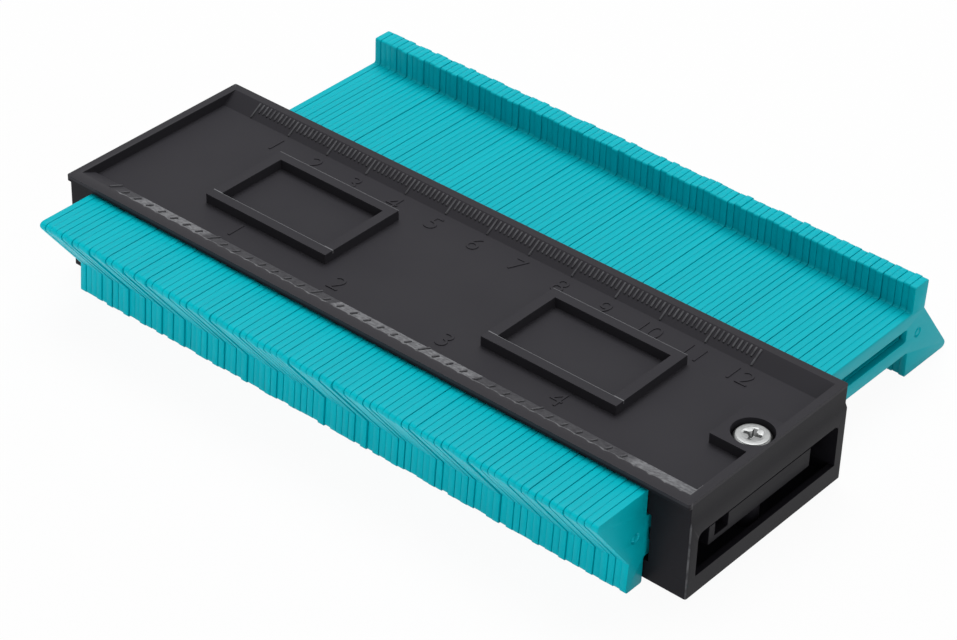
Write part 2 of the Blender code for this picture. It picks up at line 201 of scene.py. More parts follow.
class BodySizes(bpy.types.PropertyGroup):
    edge: length("Edge", "Rounding of the body's moulded edges", 0.22 * MM)
    fine_edge: length("Fine edge", "Rounding of the base plate's and the guide bar's edges", 0.10 * MM)
    corner: length("Corner", "Rounding of the body's upright corners", 0.4 * MM)
    lap: length("Lap", "How far the cover's walls reach down past the CAD's seam", 0.32 * MM)
    step_height: length("Step height", "From the base plate's underside up to the step", 15.3 * MM)
    step_slope: length("Step slope", "Height over which the step slopes in", 1.0 * MM)
    step: length("Step", "How far the rear wall and the right end stand in above their step", 0.25 * MM)
    tray_depth: length("Tray depth", "Depth of the tray below the rim", 2.05 * MM)
    side_rim: length("Side rim", "Width of the flat rim along the long sides, without the eave", 1.7 * MM)
    ramp_width: length("Ramp width", "Width of the sloped sides of the tray", 3.3 * MM)
    front_drop: length("Front drop", "Fall of the front slope, down to a small wall at its foot", 1.4 * MM)
    foot_run: length("Foot run", "Part of that slope, at its foot, that is turned into the wall", 0.5 * MM)
    end_rim: length("End rim", "Width of the flat rim at both ends", 1.65 * MM)
    frame_length: length("Frame length", "Length of a label frame in the tray", 30.0 * MM)
    frame_depth: length("Frame depth", "Depth of a label frame", 20.0 * MM)
    frame_wall: length("Frame wall", "Width of a frame's sides", 2.1 * MM)
    frame_spacing: length("Frame spacing", "From one frame's middle to the other's", 66.8 * MM)


class PatternSizes(bpy.types.PropertyGroup):
    # Where the sizes below speak of a worn line, rubbed edges, corners and places, or specks, they set
    # painted light: painted highlights on the rim's inner edge, the frames' edges and the body's corners,
    # and a painted reflection of the pale background on the front slope.
    burr: length("Burr", "Width of the rough line along the rim's worn inner edge", 0.2 * MM)
    scallop: length("Scallop", "How far that line bows out between two marks of the inch scale", 0.3 * MM)
    wander: length("Wander", "How far that line strays to and fro", 0.35 * MM)
    stray: length("Stray", "Distance along the line in which it strays once", 2.5 * MM)
    wear_start: length("Wear's start", "From the body's left end to the first wear on the front", 12.0 * MM)
    speck: length("Speck", "Size of the specks in rubbed places", 0.8 * MM)
    patch: length("Patch", "Size of the patches on rubbed lines and corners", 1.5 * MM)
    fade: length("Fade", "Width over which the tray's finish gives way to the rim's", 0.1 * MM)
    line_fade: length("Line fade", "Length over which the worn line fades at its ends", 2.0 * MM)
    frame_fade: length("Frame fade", "The same for the frames' rubbed edges", 0.3 * MM)
    speck_fade: length("Speck fade", "The same for the faint specks on the front slope", 3.0 * MM)
    flow: length("Flow", "Size of the faint clouds where the plastic flowed", 14.0 * MM)
    grain: length("Grain", "Size of the spark-eroded grain as it is drawn", 0.3 * MM)
    leaf_shade: length("Leaf shade", "Distance across the stack in which the teal changes", 2.2 * MM)
    stoning: length("Stoning", "Width of the fine lines along the leaves", 0.35 * MM)
    plating: length("Plating", "Size of the soft waves in the plating", 1.1 * MM)


class ScrewSizes(bpy.types.PropertyGroup):
    head_height: length("Head height", "From the seat to the top", 2.4 * MM)
    head_round: length("Head rounding", "Rounding of the head's upper edge", 0.75 * MM)
    crown: length("Crown", "How far the middle of the head stands over its shoulder", 0.15 * MM)
    shank_radius: length("Shank radius", "Radius of the shank", 1.2 * MM)
    cross_length: length("Cross length", "From end to end of a wing of the cross", 4.3 * MM)
    cross_width: length("Cross width", "Width of a wing of the cross", 0.95 * MM)
    cross_depth: length("Cross depth", "Depth of the cross", 1.2 * MM)
    core_top: length("Core top", "Radius where the wings of the cross meet, at the top", 1.235 * MM)
    core_foot: length("Core foot", "Radius where the wings meet, at the foot", 0.475 * MM)
    tip_radius: length("Tip radius", "Radius of the shank's blunt tip", 0.48 * MM)
    edge: length("Edge", "Rounding of the cross's edges", 0.05 * MM)
    wing_taper: bpy.props.FloatProperty(
        name="Wing taper", description="Share of a wing's width that is left at its foot", default=0.5,
        min=0.0, max=1.0, subtype="FACTOR")
    cross_turn: bpy.props.FloatProperty(
        name="Cross turn", description="How the screw has come to rest", default=math.radians(15),
        unit="ROTATION")


class ScaleSizes(bpy.types.PropertyGroup):
    start: length("Start", "Distance from the body's left end to the zero line", 8.8 * MM)
    line_width: length("Line width", "Width of a raised line", 0.42 * MM)
    line_height: length("Line height", "How far a line stands out of the slope", 0.26 * MM)
    line_edge: length("Line edge", "Rounding of a line's edges", 0.156 * MM)
    short_line: length("Short line", "Length of a line for a millimetre or an eighth", 2.0 * MM)
    long_line: length("Long line", "Length of a line for a centimetre or an inch", 3.5 * MM)
    top_margin: length("Top margin", "From the rim's edge down to the lines", 0.25 * MM)
    digit_height: length("Digit height", "Height of a number", 4.3 * MM)
    digit_thinning: length("Digit thinning", "What is taken off the strokes of a number", 0.08 * MM)
    digit_relief: length("Digit relief", "How far a number stands out of the tray", 0.13 * MM)
    digit_edge: length("Digit edge", "Bevel on a number's upper edge", 0.03 * MM)
    rear_row: length("Rear row", "From the middle of the tray back to the centimetre numbers", 13.0 * MM)
    front_row: length("Front row", "From the middle of the tray forward to the inch numbers", 13.4 * MM)
    rear_shift: length("Rear shift", "How far the centimetre numbers stand right of their lines", 0.3 * MM)
    front_shift: length("Front shift", "How far the inch numbers stand left of their lines", 0.2 * MM)


class Finishes(bpy.types.PropertyGroup):
    black: colour("Black", "Outer walls, base plate and guide bar", "#1b1a1e")
    # The tray black is the tray's grained finish and partly painted sheen: it is lighter to make up for the
    # reflection that the low specular level leaves out.
    black_tray: colour("Tray black", "Tray, rim and frames", "#313034")
    # The worn black is the colour of the painted highlights and of the front slope's painted reflection,
    # not of wear.
    black_worn: colour("Worn black", "Where the black has been rubbed", "#949598")
    teal: colour("Teal", "Leaves", "#00b9c6")
    teal_deep: colour("Deep teal", "The darker shade of some leaves", "#00adbb")
    zinc: colour("Zinc", "Screw", "#858686")
    paper: colour("Paper", "Floor and backdrop", "#e8e8e8")


def node(tree, kind, inputs=None, **settings):
    """Add a shader node; an input is a value, or the socket or the node that feeds it."""
    made = tree.nodes.new(kind)
    for key, value in settings.items():
        setattr(made, key, value)
    for key, value in (inputs or {}).items():
        if isinstance(value, bpy.types.Node):
            value = value.outputs[0]
        if isinstance(value, bpy.types.NodeSocket):
            tree.links.new(value, made.inputs[key])
        else:
            made.inputs[key].default_value = value
    return made


def new_material(name):
    """An empty node material and its output node."""
    made = bpy.data.materials.new(name)
    made.use_nodes = True
    made.node_tree.nodes.clear()
    return made, node(made.node_tree, "ShaderNodeOutputMaterial")


def per_metre(size):
    """A texture scale from the real size of one of its features."""
    return 1.0 / size


def band(tree, value, low, high, fade):
    """One where a value lies between two limits, fading to nothing outside them."""
    off = node(tree, "ShaderNodeMath", {0: value, 1: (low + high) / 2}, operation="SUBTRACT")
    far = node(tree, "ShaderNodeMath", {0: off}, operation="ABSOLUTE")
    half = (high - low) / 2
    return node(tree, "ShaderNodeMapRange", {"Value": far, "From Min": half + fade, "From Max": half})


def where_all(tree, first, *others):
    """Where several masks hold at once, by the share that they let through: their product."""
    for other in others:
        first = node(tree, "ShaderNodeMath", {0: first, 1: other}, operation="MULTIPLY")
    return first


def where_any(tree, first, *others):
    """Where at least one of several masks holds: the largest of them."""
    for other in others:
        first = node(tree, "ShaderNodeMath", {0: first, 1: other}, operation="MAXIMUM")
    return first


def uneven(tree, place, size, detail, low, high):
    """Patches of about one size that fade in between two levels of a noise."""
    noise = node(tree, "ShaderNodeTexNoise", {"Vector": place, "Scale": per_metre(size), "Detail": detail})
    return node(tree, "ShaderNodeMapRange", {"Value": noise, "From Min": low, "From Max": high})


def rim_line(tree, place, axes, scene):
    """A painted highlight along the rim's inner edge: one shallow arc for each eighth of an inch, 4 t (1 -
    t) high, broken into specks.
    """
    body = scene.gauge_body
    sizes = scene.gauge_patterns
    zero = COVER_LOW.x + scene.gauge_scales.start
    marks = node(tree, "ShaderNodeMapRange", {
        "Value": axes["X"], "From Min": zero, "From Max": zero + INCH / 8}, clamp=False)
    along = node(tree, "ShaderNodeMath", {0: marks}, operation="FRACT")
    left = node(tree, "ShaderNodeMath", {0: 1.0, 1: along}, operation="SUBTRACT")
    arcs = node(tree, "ShaderNodeMath", {
        0: where_all(tree, along, left), 1: -4 * sizes.scallop, 2: axes["Y"]}, operation="MULTIPLY_ADD")
    noise = node(tree, "ShaderNodeTexNoise", {
        "Vector": place, "Scale": per_metre(sizes.stray), "Detail": 3.0})
    strayed = node(tree, "ShaderNodeMath", {0: noise, 1: sizes.wander, 2: arcs}, operation="MULTIPLY_ADD")
    middle = body.side_rim - COVER_HIGH.y + sizes.wander / 2 - sizes.scallop / 2
    line = band(tree, strayed, middle - sizes.burr / 2, middle + sizes.burr / 2, sizes.burr / 2)
    end = COVER_HIGH.x - body.end_rim - sizes.line_fade
    run = band(tree, axes["X"], COVER_LOW.x + sizes.wear_start, end, sizes.line_fade)
    specks = uneven(tree, place, sizes.speck, detail=3.0, low=0.25, high=0.6)
    return where_all(tree, line, specks, run)


def frame_edges(tree, axes, scene):
    """A painted highlight along the far upper edge of both long sides of each label frame, even along its
    length.
    """
    body = scene.gauge_body
    sizes = scene.gauge_patterns
    third = sizes.burr / 3
    edges = []
    for side in (-1, 1):
        middle = FRAMES_X + side * body.frame_spacing / 2
        half = body.frame_length / 2
        along = band(tree, axes["X"], middle - half, middle + half, sizes.frame_fade)
        for edge in (body.frame_depth / 2, body.frame_wall - body.frame_depth / 2):
            edges.append(where_all(tree, band(tree, axes["Y"], edge - third, edge + third, third), along))
    return where_any(tree, *edges)


def slope_scuffs(tree, place, axes, scene):
    """A painted reflection of the pale background on the front slope: brighter stretches where the label
    frames don't block it, and fainter specks all along it.
    """
    body = scene.gauge_body
    sizes = scene.gauge_patterns
    front = body.side_rim - COVER_HIGH.y
    faint = band(tree, axes["X"], COVER_LOW.x + sizes.wear_start, COVER_HIGH.x, sizes.speck_fade)
    stretches = [where_all(tree, faint, FAINT_REFLECTION_SHARE)]
    for low, high, fade in SLOPE_REFLECTIONS:
        stretches.append(band(tree, axes["X"], COVER_LOW.x + low, COVER_LOW.x + high, fade))
    slope = band(tree, axes["Y"], front, front + body.ramp_width, sizes.fade)
    specks = uneven(tree, place, sizes.speck, detail=4.0, low=0.12, high=0.68)
    return where_all(tree, slope, where_any(tree, *stretches), specks)


def corner_wear(tree, place, axes, scene):
    """A painted highlight on the body's upright corners, broken into patches."""
    corner = scene.gauge_body.corner
    near = []
    for axis, far in (("X", COVER_HIGH.x), ("Y", COVER_HIGH.y)):
        out = node(tree, "ShaderNodeMath", {0: axes[axis]}, operation="ABSOLUTE")
        near.append(band(tree, out, far - corner / 2, far, corner / 3))
    patches = uneven(tree, place, scene.gauge_patterns.patch, detail=3.0, low=0.2, high=0.6)
    return where_all(tree, *near, patches)


def black_abs(scene):
    """ABS, injection moulded. The tray's mould is spark-eroded, and the rest of it is only ground.

    The eye sees a greyer, evenly grained tray inside a smoother rim, darker walls and faint clouds where
    the plastic flowed. The lighter black of the tray and the rim's top is partly painted sheen. Painted
    highlights lie along the front rim's inner edge, bowing out between the inch marks, on the frames' far
    edges and on the upright corners, and a painted reflection of the pale background lies in stretches
    on the slope behind the rim.
    """
    made, output = new_material("black_abs_moulded")
    tree = made.node_tree
    finishes = scene.gauge_finishes
    body = scene.gauge_body
    sizes = scene.gauge_patterns
    place = node(tree, "ShaderNodeTexCoord").outputs["Object"]
    axes = node(tree, "ShaderNodeSeparateXYZ", {"Vector": place}).outputs
    end = COVER_HIGH.x - body.end_rim
    rear = COVER_HIGH.y - body.step - body.side_rim
    tray = where_all(
        tree, band(tree, axes["X"], -end, end - body.step, sizes.fade),
        band(tree, axes["Y"], body.side_rim - COVER_HIGH.y, rear, sizes.fade),
        band(tree, axes["Z"], COVER_HIGH.z - 2 * body.tray_depth, COVER_HIGH.z, sizes.fade))
    top = band(tree, axes["Z"], COVER_HIGH.z - 3 * sizes.burr, COVER_HIGH.z, sizes.fade)
    # Painted light on the black: highlights on the rim's inner edge, the frames' edges and the corners, and
    # the reflection on the front slope.
    highlit = where_any(
        tree, where_all(tree, rim_line(tree, place, axes, scene), top, RIM_HIGHLIGHT_SHARE),
        where_all(tree, frame_edges(tree, axes, scene), top, FRAME_HIGHLIGHT_SHARE),
        where_all(tree, slope_scuffs(tree, place, axes, scene), tray, SLOPE_REFLECTION_SHARE),
        where_all(tree, corner_wear(tree, place, axes, scene), CORNER_HIGHLIGHT_SHARE))

    # Partly painted sheen: the tray and the rim's top take the lighter tray black, and the walls take the
    # plain black.
    base = node(tree, "ShaderNodeMix", {
        "Factor": where_any(tree, tray, top), "A": (*finishes.black, 1.0),
        "B": (*finishes.black_tray, 1.0)}, data_type="RGBA")
    tone = node(tree, "ShaderNodeMix", {
        "Factor": highlit, "A": base.outputs["Result"], "B": (*finishes.black_worn, 1.0)}, data_type="RGBA")
    clouds = uneven(tree, place, sizes.flow, detail=4.0, low=0.3, high=0.7)
    smoother = node(tree, "ShaderNodeMapRange", {"Value": clouds, "To Min": 0.34, "To Max": 0.40})
    rougher = node(tree, "ShaderNodeMapRange", {"Value": clouds, "To Min": 0.50, "To Max": 0.60})
    rough = node(tree, "ShaderNodeMix", {"Factor": tray, "A": smoother, "B": rougher})
    # The real grain is about 0.05 mm, too fine to show, so it is drawn at 0.3 mm
    grain = node(tree, "ShaderNodeTexNoise", {
        "Vector": place, "Scale": per_metre(sizes.grain), "Detail": 2.0})
    bump = node(tree, "ShaderNodeBump", {"Height": grain, "Distance": 0.02 * MM, "Strength": 0.5})
    shader = node(tree, "ShaderNodeBsdfPrincipled", {
        "Base Color": tone.outputs["Result"], "Roughness": rough, "Normal": bump, "IOR": 1.5,
        "Specular IOR Level": 0.06})
    tree.links.new(shader.outputs["BSDF"], output.inputs["Surface"])
    return made


def rubbed_abs(scene):
    """The body's ABS on the raised lines of the scales, with a patchy painted highlight that stands in for
    the light that their raised edges catch.
    """
    made, output = new_material("black_abs_line_highlight")
    tree = made.node_tree
    finishes = scene.gauge_finishes
    place = node(tree, "ShaderNodeTexCoord").outputs["Object"]
    patches = node(tree, "ShaderNodeTexNoise", {
        "Vector": place, "Scale": per_metre(scene.gauge_patterns.patch), "Detail": 2.0})
    share = node(tree, "ShaderNodeMapRange", {"Value": patches, "To Min": 0.0, "To Max": 0.4})
    tone = node(tree, "ShaderNodeMix", {
        "Factor": share, "A": (*finishes.black_tray, 1.0), "B": (*finishes.black_worn, 1.0)},
        data_type="RGBA")
    shader = node(tree, "ShaderNodeBsdfPrincipled", {
        "Base Color": tone.outputs["Result"], "Roughness": 0.5, "IOR": 1.5, "Specular IOR Level": 0.06})
    tree.links.new(shader.outputs["BSDF"], output.inputs["Surface"])
    return made


def teal_abs(scene):
    """ABS, coloured through and moulded in a milled and stoned mould.

    The eye sees a clean satin teal, a shade that shifts slightly from leaf to leaf, and very
    fine lines along each leaf from the stoning.
    """
    made, output = new_material("teal_abs_moulded")
    tree = made.node_tree
    finishes = scene.gauge_finishes
    sizes = scene.gauge_patterns
    place = node(tree, "ShaderNodeTexCoord").outputs["Object"]
    # One shade for each leaf: a pattern that changes quickly across the stack and slowly along it
    across = node(tree, "ShaderNodeMapping", {"Vector": place, "Scale": (1.0, 0.02, 0.02)})
    shade = node(tree, "ShaderNodeTexNoise", {
        "Vector": across, "Scale": per_metre(sizes.leaf_shade), "Detail": 1.0})
    tone = node(tree, "ShaderNodeMix", {
        "Factor": shade, "A": (*finishes.teal, 1.0), "B": (*finishes.teal_deep, 1.0)}, data_type="RGBA")
    along = node(tree, "ShaderNodeMapping", {"Vector": place, "Scale": (1.0, 0.05, 1.0)})
    stoning = node(tree, "ShaderNodeTexNoise", {
        "Vector": along, "Scale": per_metre(sizes.stoning), "Detail": 2.0})
    rough = node(tree, "ShaderNodeMapRange", {"Value": stoning, "To Min": 0.34, "To Max": 0.46})
    bump = node(tree, "ShaderNodeBump", {"Height": stoning, "Distance": 0.012 * MM, "Strength": 0.4})
    shader = node(tree, "ShaderNodeBsdfPrincipled", {
        "Base Color": tone.outputs["Result"], "Roughness": rough, "Normal": bump, "IOR": 1.5,
        "Specular IOR Level": 0.07})
    tree.links.new(shader.outputs["BSDF"], output.inputs["Surface"])
    return made


def zinc_steel(scene):
    """Steel, cold headed and bright zinc plated.

    The eye sees a cool silver with soft, slightly wavy reflections.
    """
    made, output = new_material("zinc_plated_steel")
    tree = made.node_tree
    place = node(tree, "ShaderNodeTexCoord").outputs["Object"]
    wave = node(tree, "ShaderNodeTexNoise", {
        "Vector": place, "Scale": per_metre(scene.gauge_patterns.plating), "Detail": 3.0})
    rough = node(tree, "ShaderNodeMapRange", {"Value": wave, "To Min": 0.28, "To Max": 0.5})
    bump = node(tree, "ShaderNodeBump", {"Height": wave, "Distance": 0.03 * MM, "Strength": 0.6})
    shader = node(tree, "ShaderNodeBsdfPrincipled", {
        "Base Color": (*scene.gauge_finishes.zinc, 1.0), "Metallic": 1.0, "Roughness": rough,
        "Normal": bump})
    tree.links.new(shader.outputs["BSDF"], output.inputs["Surface"])
    return made


def finish_material(context, maker):
    """The material that a maker makes, made once."""
    made = context.scene.get("gauge_" + maker.__name__)
    if made is None:
        made = maker(context.scene)
        context.scene["gauge_" + maker.__name__] = made
    return made


def edit(piece):
    """Open a piece in edit mode with nothing of it selected."""
    bpy.ops.object.select_all(action="DESELECT")
    piece.select_set(True)
    bpy.context.view_layer.objects.active = piece
    bpy.ops.object.mode_set(mode="EDIT")
    bpy.ops.mesh.select_all(action="DESELECT")


def pick(kind, test):
    """Select the vertices, edges or faces whose middle and direction pass a test.

    A face's direction is its normal and an edge's runs along it.
    """
    bpy.ops.mesh.select_mode(type=kind)
    bpy.ops.mesh.select_all(action="DESELECT")
    mesh = bpy.context.edit_object.data
    shape = bmesh.from_edit_mesh(mesh)
    found = 0
    for part in {"VERT": shape.verts, "EDGE": shape.edges, "FACE": shape.faces}[kind]:
        if kind == "VERT":
            chosen = test(part.co, part.normal)
        elif kind == "EDGE":
            ends = [v.co for v in part.verts]
            chosen = test((ends[0] + ends[1]) / 2, (ends[1] - ends[0]).normalized())
        else:
            chosen = test(part.calc_center_median(), part.normal)
        if chosen:
            part.select_set(True)
            found += 1
    shape.select_flush_mode()
    bmesh.update_edit_mesh(mesh)
    if not found:
        raise RuntimeError("nothing to select on " + bpy.context.edit_object.name)


def extrude(*step):
    """Draw the selection out by a step."""
    bpy.ops.mesh.extrude_region_move(TRANSFORM_OT_translate={"value": step})


def move(*step):
    """Move the selection by a step."""
    bpy.ops.transform.translate(value=step)


def merge():
    """Join vertices that lie on each other and drop the lines inside flat faces."""
    bpy.ops.mesh.select_all(action="SELECT")
    bpy.ops.mesh.remove_doubles(threshold=0.002 * MM)
    bpy.ops.mesh.dissolve_limited(angle_limit=math.radians(0.5))


def even_faces():
    """Divide the flat faces so that none has a hole or a sliver in it."""
    bpy.ops.mesh.select_all(action="SELECT")
    bpy.ops.mesh.quads_convert_to_tris(quad_method="BEAUTY", ngon_method="BEAUTY")
    bpy.ops.mesh.tris_convert_to_quads(face_threshold=math.radians(0.5), shape_threshold=math.pi)


def apply_modifiers(piece):
    """Apply a piece's modifiers in order."""
    bpy.ops.object.select_all(action="DESELECT")
    piece.select_set(True)
    bpy.context.view_layer.objects.active = piece
    for step in list(piece.modifiers):
        bpy.ops.object.modifier_apply(modifier=step.name)


def round_edges(piece, width, segments=2, angle=35.0):
    """Round every edge that is sharper than an angle."""
    step = piece.modifiers.new("edges", "BEVEL")
    step.width = width
    step.segments = segments
    step.limit_method = "ANGLE"
    step.angle_limit = math.radians(angle)
    step.miter_outer = "MITER_ARC"
    apply_modifiers(piece)


def cut(piece, tool):
    """Cut a tool from a closed piece and throw the tool away."""
    step = piece.modifiers.new("cut", "BOOLEAN")
    step.object = tool
    step.operation = "DIFFERENCE"
    step.solver = "MANIFOLD"
    apply_modifiers(piece)
    bpy.data.objects.remove(tool)


def settle(piece):
    """Put a piece's place, turn and scale into its mesh."""
    bpy.ops.object.select_all(action="DESELECT")
    piece.select_set(True)
    bpy.context.view_layer.objects.active = piece
    bpy.ops.object.transform_apply(location=True, rotation=True, scale=True)


def smooth(piece, angle=30.0):
    """Shade a piece smooth up to an angle."""
    bpy.ops.object.select_all(action="DESELECT")
    piece.select_set(True)
    bpy.context.view_layer.objects.active = piece
    bpy.ops.object.shade_smooth_by_angle(angle=math.radians(angle))


def duplicate(piece, name):
    """A copy of a piece with its own mesh."""
    made = piece.copy()
    made.data = piece.data.copy()
    made.name = name
    made.data.name = name
    bpy.context.scene.collection.objects.link(made)
    return made


def join(pieces, name):
    """Make one piece of several."""
    bpy.ops.object.select_all(action="DESELECT")
    for piece in pieces:
        piece.select_set(True)
    bpy.context.view_layer.objects.active = pieces[0]
    bpy.ops.object.join()
    pieces[0].name = name
    pieces[0].data.name = name
    return pieces[0]


def finish_piece(context, piece, maker, body, slot, *nodes):
    """Give a piece its material and body, and hide the nodes that it stands for. The slot is not used."""
    piece.data.materials.clear()
    piece.data.materials.append(finish_material(context, maker))
    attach(piece, body)
    if nodes:
        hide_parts(*nodes)


def model_head(side, sizes):
    """Draw a head out of the shank's end: an upright lip on one side and a long beak on the other.

    The two ends are the same when the leaf is turned half a turn, so a side of -1 turns both Y and Z.
    """
    shoulder = sizes.shank_length / 2
    shank = sizes.shank_height / 2
    notch = shoulder + sizes.notch_reach
    point = shoulder + sizes.beak_reach
    slope = (sizes.beak_reach - sizes.notch_reach) / (sizes.notch_height + HEAD_TOP)

    def corner(y, z):
        return lambda co, _: abs(co.y * side - y) < NEAR and abs(co.z * side - z) < NEAR

    pick("FACE", lambda co, normal: normal.y * side > FACING and co.y * side > 0)
    extrude(0, side * sizes.notch_reach, 0)
    for up in (1, -1):
        pick("FACE", lambda co, normal: normal.z * side * up > FACING and co.y * side > shoulder)
        extrude(0, 0, side * up * (HEAD_TOP - shank))
    pick("FACE", lambda co, normal: normal.y * side > FACING
         and co.y * side > shoulder and co.z * side < shank)
    extrude(0, side * (point - notch), 0)
    pick("VERT", corner(point, -shank))
    move(0, -side * slope * (HEAD_TOP - shank), 0)
    pick("VERT", corner(point, shank))
    move(0, side * (notch - point), 0)
    pick("VERT", corner(notch, shank))
    move(0, 0, side * (sizes.notch_height - shank))
    pick("VERT", corner(notch, HEAD_TOP))
    move(0, side * (sizes.lip_width - sizes.notch_reach), 0)


def round_corner(side, y, z, offset, segments):
    """Round one of the corners in a leaf's outline."""
    pick("EDGE", lambda co, along: abs(along.x) > FACING
         and abs(co.y * side - y) < NEAR and abs(co.z * side - z) < NEAR)
    bpy.ops.mesh.bevel(offset=offset, segments=segments, affect="EDGES")


def model_leaf(sizes, thickness):
    """One leaf, centred on the origin, drawn out of its shank."""
    bpy.ops.mesh.primitive_cube_add(size=1.0)
    leaf = bpy.context.object
    leaf.name = "leaf"
    leaf.scale = (thickness, sizes.shank_length, sizes.shank_height)
    settle(leaf)
    edit(leaf)
    for side in (1, -1):
        model_head(side, sizes)
    merge()

    shoulder = sizes.shank_length / 2
    shank = sizes.shank_height / 2
    beak_angle = math.atan2(sizes.notch_height + HEAD_TOP, sizes.beak_reach - sizes.notch_reach)
    for side in (1, -1):
        round_corner(side, shoulder + sizes.beak_reach, -HEAD_TOP,
                     sizes.beak_radius / math.tan(beak_angle / 2), 6)
        round_corner(side, shoulder + sizes.lip_width, HEAD_TOP, sizes.lip_radius, 3)
        round_corner(side, shoulder, HEAD_TOP, sizes.lip_inside, 3)
        for up in (1, -1):
            round_corner(side, shoulder, up * shank, sizes.foot_radius, 4)

    # The slot: the side faces are divided round it, and the two middle parts are bridged
    slot = sizes.slot_height / 2
    end = shoulder - sizes.slot_wall
    for z in (slot, -slot):
        pick("FACE", lambda co, normal: abs(normal.x) > FACING)
        bpy.ops.mesh.bisect(plane_co=(0, 0, z), plane_no=(0, 0, 1))
    for y in (end, -end):
        pick("FACE", lambda co, normal: abs(normal.x) > FACING and abs(co.z) < slot)
        bpy.ops.mesh.bisect(plane_co=(0, y, 0), plane_no=(0, 1, 0))
    pick("FACE", lambda co, normal: abs(normal.x) > FACING and abs(co.z) < slot and abs(co.y) < end)
    bpy.ops.mesh.bridge_edge_loops()
    pick("EDGE", lambda co, along: abs(along.x) > FACING
         and abs(abs(co.y) - end) < NEAR and abs(abs(co.z) - slot) < NEAR)
    bpy.ops.mesh.bevel(offset=sizes.slot_radius, segments=3, affect="EDGES")
    bpy.ops.object.mode_set(mode="OBJECT")
    round_edges(leaf, sizes.edge)

    # Rings left by the ejector pins, one on each head
    for side in (1, -1):
        place = (thickness / 2, side * (shoulder + sizes.mark_out), -side * sizes.mark_side)
        bpy.ops.mesh.primitive_torus_add(
            location=place, rotation=(0, math.pi / 2, 0), major_segments=20, minor_segments=4,
            major_radius=sizes.mark_radius - sizes.mark_width / 2, minor_radius=sizes.mark_depth)
        cut(leaf, bpy.context.object)
    smooth(leaf)
    return leaf


def resting_places(count, pitch, sizes):
    """Where each leaf has come to rest, and its turn: small groups lie together.

    A group's turn uses up at most what its leaves leave free beside it.
    """
    rng = random.Random(11)
    places = []
    slack = sizes.gap - sizes.shut_gap
    while len(places) < count:
        group = min(rng.choice((1, 2, 2, 3, 3, 4, 5, 6)), count - len(places))
        middle = (len(places) + (group - 1) / 2) * pitch
        closed = pitch - slack * rng.uniform(0.85, 1.0)
        free = (group - 1) / 2 * (pitch - closed)
        turn = rng.uniform(-1, 1) * free / (sizes.shank_length / 2 + sizes.beak_reach)
        places += [(middle + (step - (group - 1) / 2) * closed, turn) for step in range(group)]
    return places


class GAUGE_OT_leaves(bpy.types.Operator):
    """Model one leaf, and lay a copy of it in each place of the stack"""
    bl_idname = "gauge.leaves"
    bl_label = "Leaves"

    def execute(self, context):
        sizes = context.scene.gauge_leaves
        thickness = (PAIR_HIGH.x - PAIR_LOW.x - sizes.gap) / 2
        leaf = model_leaf(sizes, thickness)
        first = PAIR_LOW.x + thickness / 2
        rng = random.Random(5)
        places = resting_places(2 * len(PAIRS), thickness + sizes.gap, sizes)
        for number, (x, turn) in enumerate(places):
            # A leaf lies a little off its place, more often to the rear
            made = duplicate(leaf, "leaf_%02d" % (number + 1))
            made.location = (first + x, LEAF_Y + rng.uniform(-0.6, 1.0) * sizes.spread,
                             LEAF_Z + rng.gauss(0.0, 1.0) * sizes.lift)
            made.rotation_euler.z = turn
            settle(made)
            pair = PAIRS[number // 2]
            finish_piece(context, made, teal_abs, pair, "leaf_abs", pair)
        bpy.data.objects.remove(leaf)
        return {"FINISHED"}


def ease_cover(sizes):
    """Close the seam under the cover to a fine line and make its step a soft slope."""
    pick("VERT", lambda co, _: abs(co.z - COVER_LOW.z) < NEAR)
    move(0, 0, -sizes.lap)

    def inside_wall(co):
        past_x = max(abs(co.x) - COVER_HIGH.x + sizes.corner, 0)
        past_y = max(abs(co.y) - COVER_HIGH.y + sizes.corner, 0)
        return math.hypot(past_x, past_y) < sizes.corner - 2 * NEAR

    pick("FACE", lambda co, normal: abs(co.z - sizes.step_height) < NEAR and normal.z > FACING)
    bpy.ops.mesh.quads_convert_to_tris(quad_method="BEAUTY", ngon_method="BEAUTY")
    pick("VERT", lambda co, _: abs(co.z - sizes.step_height) < NEAR and inside_wall(co))
    move(0, 0, sizes.step_slope)
    raise_front_slope(sizes)


def raise_front_slope(sizes):
    """Lift the foot of the front slope, which leaves a small wall between it and the tray's floor."""
    foot = sizes.side_rim - COVER_HIGH.y + sizes.ramp_width
    floor = COVER_HIGH.z - sizes.tray_depth
    run = sizes.foot_run
    rise = sizes.tray_depth - sizes.front_drop - run * sizes.tray_depth / sizes.ramp_width
    slope = math.atan2(sizes.tray_depth, sizes.ramp_width)
    facing = Vector((0, math.sin(slope), math.cos(slope)))
    pick("FACE", lambda co, normal: normal.dot(facing) > FACING and co.y < foot and co.z > floor)
    bpy.ops.mesh.bisect(plane_co=(0, foot - run, 0), plane_no=(0, 1, 0))
    pick("VERT", lambda co, _: abs(co.y - foot + run) < run / 5 and co.z > floor)
    move(0, run, rise)


def moulded_copy(name, node_name, edge, reshape=None):
    """A copy of a node with its triangles merged into whole faces and its edges rounded."""
    made = duplicate(frame["nodes"][node_name], name)
    made.parent = None
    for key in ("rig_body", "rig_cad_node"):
        del made[key]
    edit(made)
    merge()
    if reshape:
        reshape(bpy.context.scene.gauge_body)
    even_faces()
    bpy.ops.object.mode_set(mode="OBJECT")
    round_edges(made, edge, segments=3, angle=27.0)
    level = made.modifiers.new("level", "WEIGHTED_NORMAL")
    level.keep_sharp = True
    smooth(made, angle=35.0)
    apply_modifiers(made)
    return made


